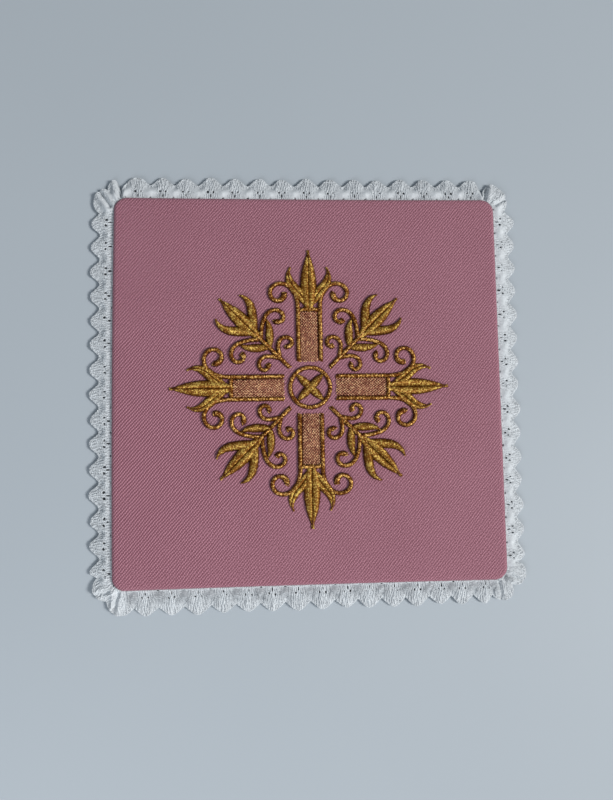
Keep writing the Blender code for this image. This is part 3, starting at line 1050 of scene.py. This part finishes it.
def veined_leaf(path, width):
    """A leaf in two halves, each of stitches slanting forward from the vein."""
    steps, share = at_even_steps(path, STITCH_PITCH)
    normal, along = path_frame(steps)
    reach = stroke_widths("leaf", np.clip(share + 0.05, 0, 1), width) / 2
    slant = along * (reach * 0.35)[:, None]
    heights = np.clip(reach / LEAF_FULL_REACH, 0.35, 1) * LEAF_HEIGHT
    parts = []
    for side in (-1, 1):
        ragged = rng.normal(0, LEAF_RAGGEDNESS, len(steps))
        vein = steps[:, :2] + normal * (side * VEIN_HALF) - slant
        rim = steps[:, :2] + normal * (side * (reach + ragged))[:, None] + slant
        parts.append(thread_part(*arches(vein, rim, heights, LEAF_POINTS, LEAF_RADIUS, LEAF_SKEW)))
    bed, bed_share = at_even_steps(path, BED_STEP)
    bed_widths = stroke_widths("leaf", bed_share, width) * LEAF_BED[0]
    parts.append(underlay(bed, bed_widths, LEAF_HEIGHT * LEAF_BED[1]))
    return parts


def motif_paths(strokes, degrees):
    for stroke in strokes:
        for mirror in ((False, True) if stroke["mirrored"] else (False,)):
            yield stroke["kind"], placed(traced(stroke), degrees, mirror), stroke["width"]


def all_motif_paths():
    for k in range(4):
        yield from motif_paths(ARM_STROKES, 90 * k)
        yield from motif_paths(SPRIG_STROKES, 45 + 90 * k)
        yield from motif_paths(PETAL_STROKES, 45 + 90 * k)


def ring_path():
    angles = np.linspace(0, 2 * math.pi, RING_POINTS)
    x = RING_RADIUS * np.cos(angles)
    y = RING_RADIUS * np.sin(angles)
    return np.column_stack([x, y, angles + math.pi / 2])


def make_cords(material):
    parts = satin(ring_path(), "cord", CORD_WIDTH, CORD_HEIGHT)
    for kind, path, width in all_motif_paths():
        if kind != "leaf":
            parts += satin(path, kind, width * MM, CORD_HEIGHT)
    return make_shaded_piece("gold_cords", parts, material)


def make_leaves(material):
    parts = []
    for kind, path, width in all_motif_paths():
        if kind == "leaf" and width > VEINED_LEAF_WIDTH:
            parts += veined_leaf(path, width * MM)
        elif kind == "leaf":
            parts += satin(path, "leaf", width * MM, LEAF_HEIGHT, LEAF_POINTS)
    return make_shaded_piece("gold_leaves", parts, material)


def fill_bed(degrees):
    """A flat bed under the seed stitches, brownish pink where the cloth shows between them and darkened
    there as painted shade.
    """
    half = FILL_HALF_WIDTH + FILL_MARGIN
    corners = []
    for z in (THICKNESS, THICKNESS + FILL_BED_HEIGHT):
        for x, y in ((-half, FILL_LOW), (half, FILL_LOW), (half, FILL_HIGH), (-half, FILL_HIGH)):
            corners.append((*turned(x, y, degrees), z))
    faces = [(0, 3, 2, 1), (4, 5, 6, 7), (0, 1, 5, 4), (1, 2, 6, 5), (2, 3, 7, 6), (3, 0, 4, 7)]
    # Its shade number 0.30 darkens it: painted shade between the seed stitches
    return np.array(corners), faces, np.full(len(corners), 0.30)


def make_lattice(material):
    """Short slanting seed stitches that fill each arm between its two cords."""
    lefts = []
    rights = []
    for row, y in enumerate(np.arange(FILL_LOW, FILL_HIGH, FILL_ROW)):
        lean = FILL_LEAN * (1 if row % 2 else -1)
        first = -FILL_HALF_WIDTH + (row % 2) * FILL_PITCH / 2
        for x in np.arange(first, FILL_HALF_WIDTH, FILL_PITCH):
            nudge = rng.normal(0, FILL_NUDGE, 2)
            lefts.append((x - FILL_LEAN + nudge[0], y - lean + nudge[1]))
            rights.append((x + FILL_LEAN + nudge[0], y + lean + nudge[1]))
    parts = []
    for k in range(4):
        left, right = (np.column_stack(turned(*np.array(ends).T, 90 * k)) for ends in (lefts, rights))
        heights = FILL_HEIGHT * rng.uniform(0.8, 1.2, len(left))
        parts.append(thread_part(*arches(left, right, heights, FILL_POINTS, FILL_RADIUS)))
        parts.append(fill_bed(90 * k))
    return make_shaded_piece("gold_lattice", parts, material)


# Materials

class Nodes:
    """Short calls for building a material's node tree."""

    def __init__(self, name):
        self.material = bpy.data.materials.new(name)
        self.material.use_nodes = True
        self.tree = self.material.node_tree
        self.shader = self.tree.nodes["Principled BSDF"]

    def add(self, kind, inputs=None, **settings):
        node = self.tree.nodes.new("ShaderNode" + kind)
        for key, value in settings.items():
            setattr(node, key, value)
        for key, value in (inputs or {}).items():
            self.put(node.inputs[key], value)
        return node

    def put(self, socket, value):
        if isinstance(value, bpy.types.NodeSocket):
            self.tree.links.new(value, socket)
        else:
            socket.default_value = value

    def math(self, operation, first, second=0.0):
        return self.add("Math", {0: first, 1: second}, operation=operation).outputs[0]

    def plus(self, first, second):
        return self.math("ADD", first, second)

    def minus(self, first, second):
        return self.math("SUBTRACT", first, second)

    def times(self, first, second):
        return self.math("MULTIPLY", first, second)

    def swing(self, value, size):
        """A value from 0 to 1 as one that swings about 0."""
        return self.times(self.minus(value, 0.5), size)

    def mix(self, share, first, second):
        node = self.add("Mix", data_type="RGBA")
        self.put(node.inputs[0], share)
        self.put(node.inputs[6], first)
        self.put(node.inputs[7], second)
        return node.outputs[2]

    def place_and_shade(self):
        """Where each point lies on its object, and the number that set_shade kept there."""
        place = self.add("TexCoord").outputs["Object"]
        return place, self.add("Attribute", attribute_name="shade").outputs["Fac"]

    def noise(self, vector, scale, detail=2.0):
        node = self.add("TexNoise", {"Vector": vector, "Scale": scale, "Detail": detail})
        return node.outputs["Fac"]

    def wave_place(self, vector, degrees, pitch):
        """Number of waves passed at each point, for waves that run in one direction."""
        x = math.cos(math.radians(degrees)) / pitch
        y = math.sin(math.radians(degrees)) / pitch
        node = self.add("VectorMath", {0: vector, 1: (x, y, 0)}, operation="DOT_PRODUCT")
        return node.outputs["Value"]

    def cosine(self, waves):
        wave = self.math("COSINE", self.times(waves, 2 * math.pi))
        return self.plus(self.times(wave, 0.5), 0.5)

    def finish(self, colour, roughness, height=None, bump=0.1 * MM, **plain):
        self.put(self.shader.inputs["Base Color"], colour)
        self.put(self.shader.inputs["Roughness"], roughness)
        if height is not None:
            node = self.add("Bump", {"Height": height, "Strength": 1.0, "Distance": bump})
            self.put(self.shader.inputs["Normal"], node.outputs[0])
        for name, value in plain.items():
            self.shader.inputs[name.replace("_", " ")].default_value = value
        return self.material


def twill_material():
    """Rose twill: slanting ribs of short floats, with uneven yarn; the ribs are bumped and painted too,
    with painted shade in their grooves and painted light on top, which stand out most on one patch.
    """
    n = Nodes("rose_twill_weave")
    uv = n.add("UVMap", uv_map="cloth").outputs[0]
    span = (CLOTH_SPAN, CLOTH_SPAN, CLOTH_SPAN)
    cloth = n.add("VectorMath", {0: uv, 1: span}, operation="MULTIPLY").outputs[0]
    noise = {name: n.noise(cloth, scale) for name, scale in TWILL_NOISE.items()}
    across = n.wave_place(cloth, RIB_SLANT_DEG - 90, RIB_PITCH)
    beside = n.wave_place(cloth, FLOAT_SLANT_DEG, FLOAT_PITCH)
    wander = n.plus(n.times(noise["drift"], 0.9), n.times(noise["wobble"], 0.45))
    rib = n.cosine(n.plus(across, wander))
    floats = n.cosine(n.plus(beside, n.times(noise["floats"], 0.8)))
    patch = (CRISP_PATCH[0] + CLOTH_SPAN / 2, CRISP_PATCH[1] + CLOTH_SPAN / 2, 0)
    gap = n.add("VectorMath", {0: cloth, 1: patch}, operation="DISTANCE")
    crisp = n.minus(1.0, n.math("DIVIDE", gap.outputs["Value"], CRISP_RADIUS))
    crisp = n.math("MAXIMUM", crisp, 0.0)
    fade = n.plus(n.times(noise["fade"], 1.5), 0.02)
    fade = n.times(fade, n.plus(n.times(crisp, 2.5), 1.0))
    dashes = n.times(n.times(floats, rib), FLOAT_DEPTH)
    height = n.plus(n.times(rib, RIB_DEPTH), dashes)
    # The ribs' tone follows their height: painted shade in the grooves, painted light on the ribs
    ribs = n.times(n.minus(height, 0.48), n.times(fade, RIB_CONTRAST))
    tone = n.plus(n.plus(ribs, 0.40), n.swing(noise["yarn"], YARN_CONTRAST))
    tone = n.plus(tone, n.swing(noise["tint"], 0.16))
    colour = n.mix(tone, TWILL_DARK, TWILL_LIGHT)
    return n.finish(colour, 0.75, height, 0.12 * MM, Sheen_Weight=0.15, Sheen_Roughness=0.45)


def lace_material():
    """White cotton thread, with painted shade where its number is low: greyer deep in the ground, and
    lighter or darker by side as light falls.
    """
    n = Nodes("cotton_lace_thread")
    place, shade = n.place_and_shade()
    knots = n.noise(place, COTTON_NOISE["knots"], 1.0)
    patches = n.noise(place, COTTON_NOISE["patches"])
    tone = n.plus(n.plus(shade, n.swing(patches, 0.5)), n.swing(knots, 0.42))
    height = n.plus(n.times(n.noise(place, COTTON_NOISE["fuzz"]), 0.3), knots)
    colour = n.mix(tone, COTTON_DARK, COTTON_LIGHT)
    return n.finish(colour, 0.85, height, 0.11 * MM, Sheen_Weight=0.1)


def gold_material(name, dark, middle, light, metallic, glint_speckle, depth):
    """Lustrous gold thread, turned brown towards each stitch's ends by painted shade where it dives into
    the cloth, and lit by painted glints.
    """
    n = Nodes(name)
    place, shade = n.place_and_shade()
    # Painted glints: speckle and beads of light along the threads, over some real unevenness of the
    # strands
    strand_glints = n.swing(n.noise(place, GOLD_NOISE["strand_glints"]), glint_speckle)
    glint_beads = n.swing(n.noise(place, GOLD_NOISE["glint_beads"], 1.0), 0.8)
    tone = n.plus(n.times(shade, 0.85), n.minus(n.plus(strand_glints, glint_beads), depth))
    low = n.mix(n.times(tone, 1.4), dark, middle)
    colour = n.mix(n.times(n.minus(tone, 0.72), 2.2), low, light)
    fibres = n.noise(place, GOLD_NOISE["fibres"])
    return n.finish(colour, 0.42, fibres, 0.04 * MM, Metallic=metallic, Specular_IOR_Level=0.3)


def floor_material():
    n = Nodes("pale_table")
    place = n.add("TexCoord").outputs["Object"]
    return n.finish(n.mix(n.noise(place, 6), FLOOR_DARK, FLOOR_LIGHT), 0.6)


# Stage

def make_camera():
    place = Vector(CAMERA_PLACE) * MM
    forward = (Vector(CAMERA_AIM) * MM - place).normalized()
    turn = math.radians(CAMERA_TURN_DEG)
    hint = Vector((math.sin(turn), math.cos(turn), 0))
    right = forward.cross(hint).normalized()
    up = right.cross(forward)
    facing = Matrix((right, up, -forward)).transposed().to_4x4()
    data = bpy.data.cameras.new("camera")
    data.lens = LENS_MM
    data.sensor_width = SENSOR_MM
    data.clip_start = 0.01
    data.clip_end = 10.0
    camera = bpy.data.objects.new("camera", data)
    camera.matrix_world = Matrix.Translation(place) @ facing
    bpy.context.scene.collection.objects.link(camera)
    bpy.context.scene.camera = camera


def area_light(name, place, size, power, colour):
    """A soft lamp that faces the middle of the cloth."""
    data = bpy.data.lights.new(name, "AREA")
    data.shape = "RECTANGLE"
    data.size, data.size_y = size
    data.energy = power
    data.color = colour
    lamp = bpy.data.objects.new(name, data)
    lamp.location = place
    lamp.rotation_euler = (-Vector(place)).to_track_quat("-Z", "Y").to_euler()
    bpy.context.scene.collection.objects.link(lamp)


def make_stage():
    bpy.ops.mesh.primitive_plane_add(size=FLOOR_SIZE, location=(0, 0, 0))
    floor = bpy.context.object
    floor.name = "table"
    floor.data.materials.append(floor_material())
    for light in LIGHTS:
        area_light(**light)
    world = bpy.data.worlds.new("room")
    world.use_nodes = True
    background = world.node_tree.nodes["Background"]
    background.inputs["Color"].default_value = SKY_COLOUR
    background.inputs["Strength"].default_value = 0.25
    bpy.context.scene.world = world
    bpy.context.scene.view_settings.view_transform = "Standard"


def dress():
    cotton = lace_material()
    cord_gold, leaf_gold, fill_gold = (gold_material(**gold) for gold in GOLDS)
    panel = make_panel(twill_material())
    ground = make_lace_ground(cotton)
    threads = [make_lace_passives(cotton), make_lace_weavers(cotton), make_lace_rim(cotton)]
    stitching = [make_cords(cord_gold), make_leaves(leaf_gold), make_lattice(fill_gold)]
    for piece in [panel, ground] + threads + stitching:
        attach(piece, ROOT)
    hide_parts("panel")
    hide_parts("lace_edging")
    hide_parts(*STITCHED_NODES)
    mean_reach = float(np.mean(tooth_at(even_places(GROUND_STEP))[0]))


make_camera()
make_stage()
dress()
